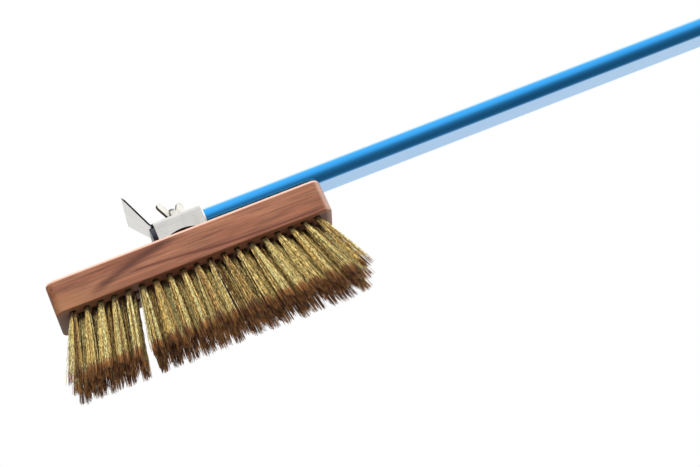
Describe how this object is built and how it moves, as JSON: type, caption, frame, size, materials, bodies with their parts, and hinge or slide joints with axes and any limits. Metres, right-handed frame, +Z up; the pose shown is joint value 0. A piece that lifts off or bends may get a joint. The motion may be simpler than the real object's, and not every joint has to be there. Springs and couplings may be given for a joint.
{
  "type": "long-handled wire brush",
  "caption": "Oval-tube handle on a swivelling wooden head of fanned brass wire tufts, clamped by a wing nut, with a folded scraper blade.",
  "frame": {"origin": "on the plane of the wire tips, straight below the axis of the swivel stud, at the flat end of the middle tuft", "axes": "+Z up from the wire tips to the scraper, +X along the handle from the head to the hang hole, Y across the head"},
  "size_m": [1.0767, 0.0674, 0.1506],
  "materials": {
    "beech": "fine-sanded, oiled steamed beech",
    "brass_wire": "crimped drawn wire",
    "plated_steel": "zinc plated",
    "nickel_plate": "bright nickel plate",
    "stainless": "cold-rolled stainless sheet",
    "black_rubber": "matt",
    "blue_anodised": "blue anodised, drawn",
    "liner_plastic": "smooth light grey",
    "black_plastic": "satin moulded",
    "rivet_aluminium": "plain"
  },
  "bodies": {
    "head": {"block": "beech", "bristle_row_1": "brass_wire", "bristle_row_2": "brass_wire", "bristle_row_3": "brass_wire", "bristle_row_4": "brass_wire", "bristle_row_5": "brass_wire", "tuft_anchors": "brass_wire", "stud_insert": "plated_steel", "swivel_stud": "plated_steel"},
    "handle": {"handle_tube": "blue_anodised", "rubber_wrap": "black_rubber", "tube_liner": "liner_plastic", "crush_sleeve": "plated_steel", "scraper_bracket": "stainless", "friction_disc": "black_rubber", "flat_washer": "plated_steel", "front_plug": "black_plastic", "end_cap": "black_plastic", "cap_rivet": "rivet_aluminium"},
    "nut_washer": {"spring_washer": "plated_steel"},
    "nut": {"wing_nut": "nickel_plate"}
  },
  "joints": [
    {"name": "head_swivel", "type": "hinge", "parent": "head", "child": "handle", "pos_m": [0, 0, 0.0995], "axis": [0, 0, 1], "continuous": true},
    {"name": "nut_lift", "type": "slide", "parent": "head", "child": "nut_washer", "axis": [0, 0, 1], "range_m": [0, 0.003]},
    {"name": "nut_turn", "type": "hinge", "parent": "nut_washer", "child": "nut", "pos_m": [0, 0, 0.12445], "axis": [0, 0, 1], "range_deg": [0, 1081]}
  ],
  "couplings": [
    {"joint": "nut_turn", "follows": "nut_lift", "rad_per_m": 6283.2}
  ]
}
